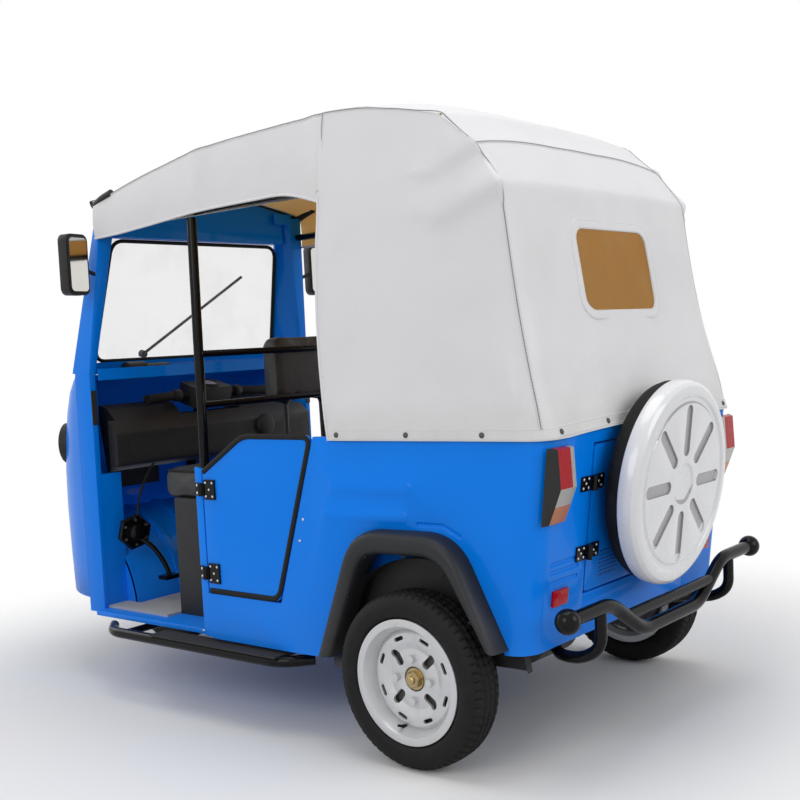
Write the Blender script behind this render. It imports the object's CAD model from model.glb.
# %% [markdown]
# # An auto rickshaw with a canvas top
# The solid model comes in first, as a fixed frame of named nodes in metres. Everything made below is set
# against that frame, so nothing has to be fitted by eye. The first box is kept, to show at the end that
# the dressed model has the same size.

# %% Load the frame
from contextlib import contextmanager
from math import acos, atan2, copysign, cos, exp, hypot, pi, radians, sin, sqrt, tan

import bmesh
import bpy
from mathutils import Matrix, Vector, noise
from mathutils.bvhtree import BVHTree


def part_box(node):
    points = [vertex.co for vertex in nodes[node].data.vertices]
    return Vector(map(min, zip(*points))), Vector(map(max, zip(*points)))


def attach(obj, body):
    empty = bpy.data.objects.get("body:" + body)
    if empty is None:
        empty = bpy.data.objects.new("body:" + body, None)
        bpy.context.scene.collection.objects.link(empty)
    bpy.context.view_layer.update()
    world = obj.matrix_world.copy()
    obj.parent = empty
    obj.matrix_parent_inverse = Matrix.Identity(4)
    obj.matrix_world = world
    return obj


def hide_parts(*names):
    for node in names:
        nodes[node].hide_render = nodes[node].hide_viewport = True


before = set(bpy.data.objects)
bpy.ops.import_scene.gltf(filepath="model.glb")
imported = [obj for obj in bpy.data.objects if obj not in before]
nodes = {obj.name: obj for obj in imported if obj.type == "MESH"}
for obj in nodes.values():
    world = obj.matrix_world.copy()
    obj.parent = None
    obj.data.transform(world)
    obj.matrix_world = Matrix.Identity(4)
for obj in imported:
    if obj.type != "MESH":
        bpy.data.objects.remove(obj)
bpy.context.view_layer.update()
low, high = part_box("rear_left_tyre")
AXLE_X = (low[0] + high[0]) / 2


def mm(x, y, z):
    """A place in millimetres ahead of the rear axle, left of the middle and above the ground."""
    return Vector((AXLE_X + x / 1000, y / 1000, z / 1000))


print("frame of", len(nodes), "nodes, rear axle at", round(AXLE_X, 4))

# %% [markdown]
# ## Camera
# The photograph was taken from behind, on the left, at about chest height, with a slight tilt of the
# horizon. A camera's axes are its right, its up and the reverse of its view direction, so the matrix is
# built from those three. The small shift puts the lens axis where it was in the picture.

# %% Camera
def show(name, data):
    """A new object in the scene, at the origin."""
    obj = bpy.data.objects.new(name, data)
    bpy.context.scene.collection.objects.link(obj)
    return obj


YAW, PITCH, ROLL = (radians(a) for a in (-50.63, 2.75, -3.11))
FOCAL_PIXELS, FRAME_PIXELS, SENSOR = 1156, 800, 36
EYE = mm(-1956, 2970, 1138)
ahead = Vector((cos(YAW) * cos(PITCH), sin(YAW) * cos(PITCH), -sin(PITCH)))
side = Vector((sin(YAW), -cos(YAW), 0))
above = side.cross(ahead)
right = side * cos(ROLL) + above * sin(ROLL)
up = above * cos(ROLL) - side * sin(ROLL)
lens = bpy.data.cameras.new("photo_camera")
lens.sensor_width = SENSOR
lens.lens = SENSOR * FOCAL_PIXELS / FRAME_PIXELS
lens.shift_x = -5 / FRAME_PIXELS
lens.clip_end = 200
camera = show("photo_camera", lens)
axes = Matrix((right, up, -ahead)).transposed().to_4x4()
camera.matrix_world = Matrix.Translation(EYE) @ axes
bpy.context.scene.camera = camera
bpy.context.scene.view_settings.view_transform = "Standard"
print("camera", [round(v, 3) for v in camera.location])

# %% [markdown]
# ## Shader sockets as numbers
# Node trees are easier to read as sums than as boxes and wires. This class holds one output socket;
# adding or multiplying it by a number adds a Math node. The reflected forms make `1 - mask` work too.
# Every other node comes from one method: its settings go in first, then its sockets.

# %% Shader sockets as numbers
class Wire:
    """One socket of a node tree, with arithmetic."""

    def __init__(self, tree, socket=None):
        self.tree = tree
        self.socket = socket

    def node(self, kind, settings=(), sockets=(), out=0):
        made = self.tree.nodes.new("ShaderNode" + kind)
        for name, value in dict(settings).items():
            setattr(made, name, value)
        for name, value in dict(sockets).items():
            found = [s for s in made.inputs if s.identifier == name] or [made.inputs[name]]
            if isinstance(value, Wire):
                self.tree.links.new(value.socket, found[0])
            else:
                found[0].default_value = value
        found = [s for s in made.outputs if out in (s.identifier, s.name)] or [made.outputs[0]]
        return Wire(self.tree, found[0])

    def maths(self, operation, a, b):
        return self.node("Math", {"operation": operation}, {"Value": a, "Value_001": b})

    def __add__(self, other):
        return self.maths("ADD", self, other)

    def __sub__(self, other):
        return self.maths("SUBTRACT", self, other)

    def __rsub__(self, other):
        return self.maths("SUBTRACT", other, self)

    def __mul__(self, other):
        return self.maths("MULTIPLY", self, other)

    __radd__ = __add__
    __rmul__ = __mul__

    def step(self, start, end):
        """0 below start, 1 above end, smooth between them."""
        return self.node("MapRange", {"interpolation_type": "SMOOTHSTEP"},
                         {"Value": self, "From Min": start, "From Max": end})

    def blend(self, first, second):
        """From the first colour to the second, by this socket."""
        a, b = (c if isinstance(c, Wire) else (*c, 1) for c in (first, second))
        return self.node("Mix", {"data_type": "RGBA"},
                         {"Factor_Float": self, "A_Color": a, "B_Color": b}, "Result_Color")


def surface(name, look, **constants):
    """A material: look gives the sockets that vary, and constants are set on the shader itself."""
    made = bpy.data.materials.new(name)
    made.use_nodes = True
    tree = made.node_tree
    shader = tree.nodes["Principled BSDF"]
    for socket, value in constants.items():
        shader.inputs[socket.replace("_", " ")].default_value = value
    w = Wire(tree)
    p = w.node("TexCoord", out="Object")
    for socket, value in look(w, p).items():
        tree.links.new(value.socket, shader.inputs[socket])
    return made


def cloud(w, p, scale, detail=2.0):
    """Soft noise of a given fineness, in features per metre."""
    return w.node("TexNoise", {}, {"Vector": p, "Scale": scale, "Detail": detail}, "Fac")


def relief(w, height, distance, strength=1.0):
    """Bump from a height between 0 and 1, as deep as distance in metres."""
    return w.node("Bump", {}, {"Height": height, "Distance": distance, "Strength": strength}, "Normal")


def high_up(w, p):
    return w.node("SeparateXYZ", {}, {"Vector": p}, "Z")


print("shader helpers ready")

# %% [markdown]
# ## Light and floor
# A cut-out product picture has no visible room, so the world is white to the camera and to reflections,
# and gentler as a light. Large soft lamps give the paint broad highlights, and a pale floor keeps the
# shadow and fades out towards its edge.

# %% Light and floor
WORLD_LIGHT = 0.45
world = bpy.data.worlds.new("studio")
world.use_nodes = True
bpy.context.scene.world = world
sky = Wire(world.node_tree)
RAYS = ("Is Camera Ray", "Is Glossy Ray", "Is Transmission Ray")
rays = [sky.node("LightPath", out=name) for name in RAYS]
seen = sky.maths("MAXIMUM", sky.maths("MAXIMUM", rays[0], rays[1]), rays[2])
strength = WORLD_LIGHT + seen * (1 - WORLD_LIGHT)
back = world.node_tree.nodes["Background"]
world.node_tree.links.new(strength.socket, back.inputs["Strength"])
back.inputs["Color"].default_value = (1, 1, 1, 1)


def soft_lamp(name, place, target, size, power):
    data = bpy.data.lights.new(name, "AREA")
    data.shape = "DISK"
    data.size = size
    data.energy = power
    lamp = show(name, data)
    lamp.location = place
    lamp.rotation_euler = (Vector(target) - Vector(place)).to_track_quat("-Z", "Y").to_euler()


soft_lamp("top", (-0.6, 0.2, 5.4), (-0.2, 0, 0.9), 3.6, 80)
soft_lamp("left_side", (-1.2, 4.8, 2.8), (0, 0, 0.8), 3.0, 62)
soft_lamp("rear", (-5.2, -0.8, 2.6), (-0.6, 0, 0.9), 2.8, 62)
soft_lamp("front", (5.0, 1.2, 3.2), (0.6, 0, 0.9), 3.2, 50)


def new_mesh(name, verts, faces=(), edges=()):
    mesh = bpy.data.meshes.new(name)
    mesh.from_pydata(verts, list(edges), list(faces))
    return mesh


def floor_look(w, p):
    far = w.node("VectorMath", {"operation": "LENGTH"}, {"Vector": p}, "Value")
    return {"Base Color": cloud(w, p, 0.8).blend((0.86, 0.86, 0.865), (0.90, 0.90, 0.905)),
            "Roughness": 0.72 + cloud(w, p, 30.0) * 0.1, "Alpha": 1 - far.step(1.3, 2.5)}


FLOOR = 30
corners = [(-FLOOR, -FLOOR, 0), (FLOOR, -FLOOR, 0), (FLOOR, FLOOR, 0), (-FLOOR, FLOOR, 0)]
floor = show("studio_floor", new_mesh("studio_floor", corners, [(0, 1, 2, 3)]))
floor.data.materials.append(surface("studio_floor", floor_look))

# %% [markdown]
# ## Finishes: paint, plastic and rubber
# The body is sprayed steel: a deep azure under a clear coat, with the faint orange peel of spray work, a
# little broad unevenness and a film of road dust low down. Height above the ground drives the dust.

# %% Paint and black parts
AZURE = (0.0, 0.235, 0.96)
AZURE_DEEP = (0.0, 0.215, 0.89)
DUST = (0.16, 0.15, 0.13)


def azure_look(w, p):
    broad = cloud(w, p, 3.0, 3.0)
    dust = (1 - high_up(w, p).step(0.24, 0.62)) * cloud(w, p, 14.0, 6.0) * 0.16
    return {"Base Color": dust.blend(broad.blend(AZURE_DEEP, AZURE), DUST),
            "Roughness": 0.3 + broad * 0.06 + dust * 1.2,
            "Coat Weight": 0.2 - dust * 0.8,
            "Normal": relief(w, cloud(w, p, 420.0, 1.0), 0.00025, 0.25)}


def black_paint_look(w, p):
    scuff = cloud(w, p, 90.0, 8.0).step(0.56, 0.72)
    return {"Base Color": (scuff * 0.5).blend((0.004, 0.004, 0.005), (0.014, 0.0135, 0.013)),
            "Roughness": 0.16 + scuff * 0.2 + cloud(w, p, 8.0) * 0.06,
            "Normal": relief(w, cloud(w, p, 500.0, 1.0), 0.0001, 0.2)}


def grain(w, p, size):
    """Moulded leather-like grain: cells with soft walls, features per metre."""
    return w.node("TexVoronoi", {"feature": "SMOOTH_F1"}, {"Vector": p, "Scale": size}, "Distance")


def mottled(first, second, patches, rough, uneven, height=None, depth=()):
    """A plain look: patches of two colours, an uneven roughness and, if height is given, a relief.
    patches holds a cloud's scale and detail; uneven holds an amount before them; depth goes to relief."""
    def look(w, p):
        sockets = {"Base Color": cloud(w, p, *patches).blend(first, second),
                   "Roughness": rough + cloud(w, p, *uneven[1:]) * uneven[0]}
        if height:
            sockets["Normal"] = relief(w, height(w, p), *depth)
        return sockets
    return look


def flare_look(w, p):
    dust = (1 - high_up(w, p).step(0.28, 0.6)) * cloud(w, p, 20.0, 6.0) * 0.3
    return {"Base Color": dust.blend((0.017, 0.018, 0.021), (0.09, 0.085, 0.08)),
            "Roughness": 0.4 + cloud(w, p, 60.0, 3.0) * 0.14,
            "Normal": relief(w, grain(w, p, 700.0), 0.0004, 0.45)}


def rubber_look(w, p):
    dust = cloud(w, p, 26.0, 6.0).step(0.42, 0.8) * 0.35
    return {"Base Color": dust.blend((0.006, 0.006, 0.0065), (0.032, 0.030, 0.028)),
            "Roughness": 0.62 + dust * 0.4,
            "Normal": relief(w, cloud(w, p, 800.0, 3.0), 0.0003, 0.4)}


azure = surface("azure_paint", azure_look, Coat_Roughness=0.05, Specular_IOR_Level=0.05)
black_paint = surface("black_paint", black_paint_look, Coat_Weight=0.16, Coat_Roughness=0.03,
                      Specular_IOR_Level=0.08)
black_plastic = surface("black_plastic", mottled(
    (0.011, 0.011, 0.012), (0.021, 0.021, 0.022), (24.0, 4.0), 0.46, (0.14, 40.0),
    lambda w, p: grain(w, p, 520.0), (0.0005, 0.5)), Specular_IOR_Level=0.3)
flare_plastic = surface("flare_plastic", flare_look, Specular_IOR_Level=0.3)
rubber = surface("tyre_rubber", rubber_look, Specular_IOR_Level=0.2)
print("paint, plastic and rubber made")

# %% [markdown]
# ## Finishes: cloth and vinyl
# The canopy is a coated canvas. A weave is two sets of fine waves at right angles; a wave on X and Z
# covers the sides and one on Y the roof and back, so no unwrapping is needed. The lining is tan inside.
# Vinyl has larger grain with fine wrinkles.

# %% Cloth and vinyl
THREADS = 1400.0


def weave(w, p):
    """Crossed threads, the same on every side."""
    rows = [w.node("TexWave", {"bands_direction": axis}, {"Vector": p, "Scale": THREADS / 6.2832}, "Fac")
            for axis in ("X", "Y", "Z")]
    return w.maths("MAXIMUM", w.maths("MAXIMUM", rows[0], rows[1]), rows[2])


def canvas_look(w, p):
    smudge = cloud(w, p, 5.0, 5.0).step(0.45, 0.8)
    drips = (1 - high_up(w, p).step(0.88, 1.02)) * cloud(w, p, 18.0, 4.0) * 0.5
    colour = (smudge * 0.35).blend((0.775, 0.775, 0.79), (0.715, 0.715, 0.73))
    folds = cloud(w, p, 9.0, 3.0)
    return {"Base Color": drips.blend(colour, (0.55, 0.54, 0.52)),
            "Roughness": 0.5 + smudge * 0.15,
            "Normal": relief(w, folds * 6.0 + weave(w, p) * 0.22, 0.0016, 0.5)}


def lining_look(w, p):
    plain = mottled((0.72, 0.43, 0.14), (0.80, 0.50, 0.19), (12.0, 4.0), 0.72, (0.12, 40.0), weave,
                    (0.0005, 0.5))
    glow = cloud(w, p, 7.0, 3.0).blend((0.74, 0.40, 0.10), (0.82, 0.48, 0.15))
    return {**plain(w, p), "Emission Color": glow}


canvas = surface("canvas", canvas_look, Sheen_Weight=0.12)
lining = surface("tan_lining", lining_look, Sheen_Weight=0.2, Emission_Strength=0.22)
vinyl = surface("vinyl", mottled(
    (0.009, 0.009, 0.010), (0.02, 0.02, 0.021), (16.0, 4.0), 0.36, (0.2, 30.0, 4.0),
    lambda w, p: grain(w, p, 340.0) + cloud(w, p, 45.0, 4.0), (0.0008, 0.55)))
thread = surface("thread", mottled((0.22, 0.22, 0.23), (0.32, 0.32, 0.33), (200.0,), 0.7, (0.1, 300.0)))
tape = surface("seam_tape", mottled(
    (0.55, 0.55, 0.565), (0.62, 0.62, 0.63), (40.0, 4.0), 0.52, (0.1, 60.0), weave, (0.0003, 0.4)))
print("cloth and vinyl made")

# %% [markdown]
# ## Finishes: metal, glass and lenses
# Bare metal varies mostly in roughness. Glass and window film are nearly clear and carry a thin film of dirt.
# A lamp lens has fine upright ribs, and the floor mat is speckled.

# %% Metal, glass and lenses
def silver_look(w, p):
    dust = cloud(w, p, 18.0, 6.0).step(0.5, 0.85) * 0.35
    return {"Base Color": dust.blend((0.60, 0.605, 0.615), (0.36, 0.34, 0.31)),
            "Roughness": 0.34 + dust * 0.5 + cloud(w, p, 300.0) * 0.05,
            "Normal": relief(w, cloud(w, p, 900.0, 2.0), 0.0002, 0.3)}


def glass_look(w, p):
    film = cloud(w, p, 7.0, 4.0).step(0.4, 0.9)
    return {"Base Color": film.blend((0.55, 0.62, 0.63), (0.7, 0.74, 0.74)),
            "Alpha": 0.1 + film * 0.06, "Roughness": 0.02 + film * 0.04}


def pane_look(w, p):
    film = cloud(w, p, 11.0, 4.0).step(0.35, 0.85)
    return {"Base Color": film.blend((0.30, 0.20, 0.08), (0.42, 0.30, 0.14)),
            "Alpha": 0.05 + film * 0.05, "Roughness": 0.08 + film * 0.14,
            "Normal": relief(w, cloud(w, p, 16.0, 2.0), 0.004, 0.35)}


def mat_look(w, p):
    cells = w.node("TexVoronoi", {"feature": "F1"}, {"Vector": p, "Scale": 330.0}, "Distance")
    speck = cells.step(0.18, 0.34)
    worn = cloud(w, p, 8.0, 4.0)
    pale = worn.blend((0.36, 0.365, 0.37), (0.50, 0.505, 0.51))
    return {"Base Color": speck.blend((0.20, 0.205, 0.21), pale),
            "Roughness": 0.66 + worn * 0.15, "Normal": relief(w, speck, 0.0008, 0.5)}


def ribbed(name, colour, bright, **constants):
    """A lamp lens: fine upright ribs and a slightly uneven tint."""
    def look(w, p):
        ribs = w.node("TexWave", {"bands_direction": "Y"}, {"Vector": p, "Scale": 45.0}, "Fac")
        return {"Base Color": (ribs * 0.4).blend(colour, bright), "Roughness": 0.08 + ribs * 0.1,
                "Normal": relief(w, ribs, 0.0012, 0.6)}
    return surface(name, look, Coat_Roughness=0.03, **constants)


silver = surface("wheel_silver", silver_look, Metallic=0.35, Coat_Weight=0.25)
steel = surface("bright_steel", mottled(
    (0.42, 0.42, 0.43), (0.58, 0.58, 0.59), (120.0, 3.0), 0.22, (0.2, 220.0, 4.0)), Metallic=1.0)
brass = surface("brass", mottled(
    (0.36, 0.27, 0.13), (0.50, 0.40, 0.22), (90.0, 4.0), 0.26, (0.25, 150.0, 4.0)), Metallic=1.0)
cast = surface("cast_metal", mottled(
    (0.05, 0.05, 0.05), (0.13, 0.125, 0.12), (30.0, 5.0), 0.55, (0.2, 60.0),
    lambda w, p: cloud(w, p, 260.0, 3.0), (0.0008, 0.5)), Metallic=0.5)
glass = surface("screen_glass", glass_look)
pane = surface("window_film", pane_look)
mat_grey = surface("speckled_mat", mat_look)
gloss_white = surface("cover_white", mottled(
    (0.74, 0.745, 0.765), (0.80, 0.805, 0.825), (6.0, 4.0), 0.2, (0.12, 40.0, 4.0),
    lambda w, p: cloud(w, p, 9.0), (0.0006, 0.12)), Coat_Weight=0.6, Coat_Roughness=0.06)
accent = surface("cover_grey", mottled(
    (0.33, 0.33, 0.35), (0.40, 0.40, 0.42), (30.0, 4.0), 0.3, (0.1, 50.0)),
    Coat_Weight=0.4, Coat_Roughness=0.08)
lens_red = ribbed("lens_red", (0.42, 0.002, 0.008), (0.58, 0.004, 0.016), Coat_Weight=0.2,
                  Specular_IOR_Level=0.1)
lens_white = ribbed("lens_white", (0.42, 0.41, 0.38), (0.62, 0.61, 0.58), Coat_Weight=0.3)
lens_amber = ribbed("lens_amber", (0.50, 0.15, 0.04), (0.66, 0.25, 0.08), Coat_Weight=0.2)
print("materials:", len(bpy.data.materials))

# %% [markdown]
# ## Making a piece
# Every piece is a mesh with its place in its vertices, so its object stays at the origin.

# %% Making a piece
@contextmanager
def edited(mesh):
    """The mesh as a bmesh, written back at the end of the block."""
    bm = bmesh.new()
    bm.from_mesh(mesh)
    yield bm
    bm.to_mesh(mesh)
    bm.free()


def finish_piece(obj, material, body, replaced=(), angle=38):
    mesh = obj.data
    if not mesh.materials:
        for m in material if isinstance(material, list) else [material]:
            mesh.materials.append(m)
    mesh.shade_smooth()
    mesh.set_sharp_from_angle(angle=radians(angle))
    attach(obj, body)
    if replaced:
        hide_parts(*replaced)
    return obj


def piece(name, verts, faces, material, body="body", slot="black_plastic", replaced=(), angle=38,
          closed=True):
    """A piece from points and faces; closed ones get their normals turned outward."""
    mesh = new_mesh(name, verts, faces)
    with edited(mesh) as bm:
        bmesh.ops.remove_doubles(bm, verts=bm.verts, dist=1e-5)
        if closed:
            bmesh.ops.recalc_face_normals(bm, faces=bm.faces)
    return finish_piece(show(name, mesh), material, body, replaced, angle)


def soft_copy(node, materials, body="body", bevel=1.6, angle=32, pick=None):
    """A copy of a solid node with its corners eased, and a material for each face if pick is given."""
    mesh = nodes[node].data.copy()
    mesh.name = node + "_dressed"
    mesh.materials.clear()
    sharp = radians(angle)
    with edited(mesh) as bm:
        bmesh.ops.remove_doubles(bm, verts=bm.verts, dist=2e-5)
        bmesh.ops.dissolve_limit(bm, angle_limit=radians(0.6), verts=bm.verts, edges=bm.edges)
        if bevel:
            edges = [e for e in bm.edges if len(e.link_faces) == 2 and e.calc_face_angle(0) > sharp]
            bmesh.ops.bevel(bm, geom=edges, offset=bevel / 1000, segments=2, profile=0.6, affect="EDGES",
                            clamp_overlap=True)
        bmesh.ops.triangulate(bm, faces=[f for f in bm.faces if len(f.verts) > 4])
        for f in bm.faces:
            f.material_index = pick(f.calc_center_median()) if pick else 0
    return finish_piece(show(node + "_dressed", mesh), materials, body, [node], angle)


print("piece makers ready")

# %% [markdown]
# ## Shapes from rings and paths
# Most small pieces are one of a few simple shapes: a section swept along a path, a profile turned about an
# axis, a plate between two rings or a block. Each maker gives a list of points and a list of faces, so
# shapes can be joined and mirrored before they become a piece.

# %% Shapes from rings and paths
def around(count):
    """Evenly spaced angles round a circle."""
    return [2 * pi * i / count for i in range(count)]


def grid_faces(rows, columns, round_rows=False, round_columns=False):
    """Faces of a grid of points stored row by row."""
    return [(i * columns + j, (i + 1) % rows * columns + j, (i + 1) % rows * columns + (j + 1) % columns,
             i * columns + (j + 1) % columns)
            for i in range(rows if round_rows else rows - 1)
            for j in range(columns if round_columns else columns - 1)]


def fillet(points, radius, steps=8):
    """A path with its corners rounded, in metres."""
    out = [points[0]]
    for a, p, b in zip(points, points[1:], points[2:]):
        u, w = (a - p), (b - p)
        reach = min(radius, u.length * 0.49, w.length * 0.49)
        s, e = p + u.normalized() * reach, p + w.normalized() * reach
        out += [s * (1 - t) ** 2 + p * 2 * t * (1 - t) + e * t * t
                for t in (k / steps for k in range(steps + 1))]
    return out + [points[-1]]


def sweep(points, section, looped=False):
    """Rings of a section (list of across, up offsets in metres) along a path; gives points and faces."""
    n, k = len(points), len(section)
    verts, normal = [], None
    for i, p in enumerate(points):
        a = points[(i - 1) % n] if looped or i else points[0]
        b = points[(i + 1) % n] if looped or i < n - 1 else points[-1]
        along = (b - a).normalized()
        if normal is None:
            normal = Vector((0, 0, 1)) if abs(along.z) < 0.9 else Vector((1, 0, 0))
        normal = (normal - along * normal.dot(along)).normalized()
        across = along.cross(normal)
        verts += [p + across * s + normal * t for s, t in section]
    faces = grid_faces(n, k, looped, True)
    if not looped:
        faces += [tuple(range(k - 1, -1, -1)), tuple(range((n - 1) * k, n * k))]
    return verts, faces


def disc(radius, count=20):
    """A round section, in millimetres."""
    return [(radius / 1000 * cos(a), radius / 1000 * sin(a)) for a in around(count)]


def tube(points, radius, count, corner=0.0, steps=1):
    """A round tube through places in millimetres; its bends have a corner in metres."""
    return sweep(fillet([mm(*p) for p in points], corner, steps), disc(radius, count))


def slab(front, back):
    """A closed plate between two rings of points."""
    n = len(front)
    return front + back, grid_faces(2, n, False, True) + [tuple(range(n)), tuple(range(2 * n - 1, n - 1, -1))]


def rounded(across, up, radius, count):
    """A ring of Y and Z round a rectangle; across and up lead to the middles of its round corners."""
    return [(sy * across + radius * cos(a), sz * up + radius * sin(a))
            for turn, sy, sz in ((0, 1, 1), (90, -1, 1), (180, -1, -1), (270, 1, -1))
            for a in (radians(turn + 90 * k / count) for k in range(count + 1))]


def ramp(value, start, end):
    """0 at start and 1 at end, straight between them and flat outside."""
    return max(0, min(1, (value - start) / (end - start)))


def join(*parts):
    """Several lists of points and faces as one."""
    verts, faces = [], []
    for v, f in parts:
        faces += [tuple(i + len(verts) for i in face) for face in f]
        verts += v
    return verts, faces


def turned(profile, centre, axis, count=48):
    """A profile of (radius, height) in millimetres, turned about an axis."""
    axis = Vector(axis).normalized()
    a = axis.orthogonal().normalized()
    b = axis.cross(a)
    verts = [centre + axis * (h / 1000) + (a * cos(t) + b * sin(t)) * (r / 1000)
             for t in around(count) for r, h in profile]
    return verts, grid_faces(count, len(profile), True, False)


def brick(x0, x1, y0, y1, z0, z1):
    """A block between two corners, in millimetres."""
    v = [mm(x, y, z) for x in (x0, x1) for y in (y0, y1) for z in (z0, z1)]
    return v, [(0, 1, 3, 2), (4, 6, 7, 5), (0, 4, 5, 1), (2, 3, 7, 6), (0, 2, 6, 4), (1, 5, 7, 3)]


def mirrored(part):
    v, f = part
    return [Vector((p.x, -p.y, p.z)) for p in v], [tuple(reversed(face)) for face in f]


def on_both(part):
    return join(part, mirrored(part))


print("shape makers ready")

# %% [markdown]
# ## Painted steel
# Pressed steel never has a knife edge: sheet bends over a radius. A copy of each painted solid gets a
# small bevel on its sharp edges, which is what catches the light along a door or a sill.

# %% Painted steel
for name in ("side_panel_left", "side_panel_right", "rear_panel", "screen_frame", "wheelhouse", "rear_deck",
             "floor"):
    soft_copy(name, [azure])
soft_copy("front_mudguard", [azure], "steering")
soft_copy("nose_shell", [azure], bevel=0, angle=42)

# %% [markdown]
# ## Doors and tailgate
# Each door is a steel slab with two barrel hinges. The hinge leaves are black, so faces that stand proud
# of the skin near the hinge line take the black paint, and the skin takes the blue.

# %% Doors and tailgate
BODY_HALF, REAR_BACK, TUB_TOP = 605.0, 412.0, 890.0
LEAN = radians(8)


def rear_x(z):
    """The leaning rear face at a height, in millimetres."""
    return -REAR_BACK + (TUB_TOP - z) * tan(LEAN)


def hinge_on_door(c):
    return 1 if abs(c.y) * 1000 > BODY_HALF + 0.4 else 0


def out_of_rear(c):
    """Distance outward from the leaning rear face, in millimetres."""
    return (rear_x(c.z * 1000) - (c.x - AXLE_X) * 1000) * cos(LEAN)


def hinge_on_gate(c):
    return 1 if out_of_rear(c) > 0.5 else 0


soft_copy("door_left", [azure, black_paint], "left_door", pick=hinge_on_door)
soft_copy("door_right", [azure, black_paint], "right_door", pick=hinge_on_door)
soft_copy("tailgate", [azure, black_paint], "rear_gate", pick=hinge_on_gate)
soft_copy("hinge_leaves", [black_paint], bevel=1.0)
print("doors and gate eased")

# %% [markdown]
# ## The canvas top
# The canopy is one sheet of coated canvas over steel bows. It is made as four kinds of patch that share
# their edges: a roof, a strip over each door, a quarter behind each door and a rear panel. Each patch is
# a grid between smooth boundary curves, and the grids are welded into one mesh.

# %% Curves of the canvas top
HEM_Z, HEM_OUT, ROOF_HALF = 880.0, 9.0, 505.0
CROWN = [62, 62, 62, 62, 62, 50, 25, 27, 28]
SHOULDER = [(1410, 1684), (1130, 1745), (860, 1786.5), (560, 1803.6), (250, 1806), (60, 1780), (-105, 1740),
            (-158, 1694), (-212, 1648)]
QUARTER_FRONT, HEM_FRONT = 318.0, 268.0
OPENING = [0, 0.12, 0.36, 0.62, 0.84, 0.96, 1, 0.92, -0.3]
REAR_HALF, TAPER_X, CORNER_R = 552.0, 330.0, 62.0


def spline(points, u):
    """A smooth curve through a list of points, where u runs from 0 to 1."""
    n = len(points) - 1
    i = min(int(u * n), n - 1)
    t = u * n - i
    p = [Vector(points[min(max(k, 0), n)]) for k in (i - 1, i, i + 1, i + 2)]
    if i == 0:
        p[0] = p[1] * 2 - p[2]
    if i == n - 1:
        p[3] = p[2] * 2 - p[1]
    return (p[1] * 2 + (p[2] - p[0]) * t + (p[0] * 2 - p[1] * 5 + p[2] * 4 - p[3]) * t * t
            + (p[1] * 3 - p[0] - p[2] * 3 + p[3]) * t ** 3) / 2


def kinked(points, u, kink):
    """Smooth up to the point numbered kink, then straight from point to point."""
    n = len(points) - 1
    if u * n <= kink:
        return spline(points[:kink + 1], u * n / kink)
    i = min(int(u * n), n - 1)
    return Vector(points[i]).lerp(Vector(points[i + 1]), u * n - i)


def at_shoulder(u):
    p = kinked([(x, z, 0) for x, z in SHOULDER], u, 6)
    return Vector((p[0], ROOF_HALF, p[1]))


def crown_at(u):
    return kinked([(c, 0, 0) for c in CROWN], u, 6)[0]


CORNER_X, CORNER_Y = -REAR_BACK - HEM_OUT, REAR_HALF + HEM_OUT
taper = Vector((TAPER_X - CORNER_X, BODY_HALF - REAR_HALF)).normalized()
half_turn = acos(max(-1, min(1, taper.dot(Vector((0, -1)))))) / 2
arc_r = CORNER_R + HEM_OUT
bisector = (taper + Vector((0, -1))).normalized()
arc_centre = Vector((CORNER_X, CORNER_Y)) + bisector * (arc_r / sin(half_turn))
arc_start = Vector((CORNER_X, CORNER_Y)) + taper * (arc_r / tan(half_turn))
hem_start = Vector((HEM_FRONT, arc_start.y + (HEM_FRONT - arc_start.x) * taper.y / taper.x))
angle_a = atan2(*(arc_start - arc_centre).yx)


def on_arc(t):
    """Round the rear corner of the hem: 0 at the side, 1 at the rear."""
    a = angle_a + (pi - angle_a) * t
    return arc_centre + Vector((cos(a), sin(a))) * arc_r


def quarter_hem(u):
    p = hem_start.lerp(arc_start, u * 11 / 5) if u < 5 / 11 else on_arc((u * 11 - 5) / 12)
    return Vector((p[0], p[1], HEM_Z))


corner_hem = on_arc(0.5)
CORNER = [(corner_hem[0], corner_hem[1], HEM_Z), (-334, 522, 1200), (-290, 513, 1533), (-212, 505, 1648)]


def at_corner(v):
    return kinked(CORNER, v, 2)


def rear_hem_x(w):
    """X of the rear hem at a share of its half width."""
    y = abs(w) * corner_hem[1]
    if y > arc_centre[1]:
        return arc_centre[0] - sqrt(max(arc_r ** 2 - (y - arc_centre[1]) ** 2, 0))
    return CORNER_X - 4 * (1 - y / arc_centre[1])


split = (3 + (560 - QUARTER_FRONT) / (560 - 250)) / 8
print("strip joins the quarter at", round(split, 3))

# %% [markdown]
# ## Patches of the canvas top
# A quarter is a Coons patch: the sum of the two ruled surfaces between opposite edges, less the bilinear
# surface of its corners. The rear panel takes the corner curve and narrows it towards the middle, and the
# roof takes the shoulder curve and adds the crown across.

# %% Patches of the canvas top
STRIP_N, QUARTER_N, ROWS_N, ACROSS_N = 66, 40, 66, 64


def front_edge(v):
    p = quarter_hem(0) * (1 - v) + at_shoulder(split) * v
    return Vector((QUARTER_FRONT - 50 * (1 - v) ** 3, p.y + 60 * v * (1 - v), p.z))


def quarter(u, v):
    top = at_shoulder(split + (1 - split) * u)
    ruled = quarter_hem(u) * (1 - v) + top * v + front_edge(v) * (1 - u) + at_corner(v) * u
    return (ruled - quarter_hem(0) * (1 - u) * (1 - v) - quarter_hem(1) * u * (1 - v)
            - at_shoulder(split) * (1 - u) * v - at_shoulder(1) * u * v)


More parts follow.
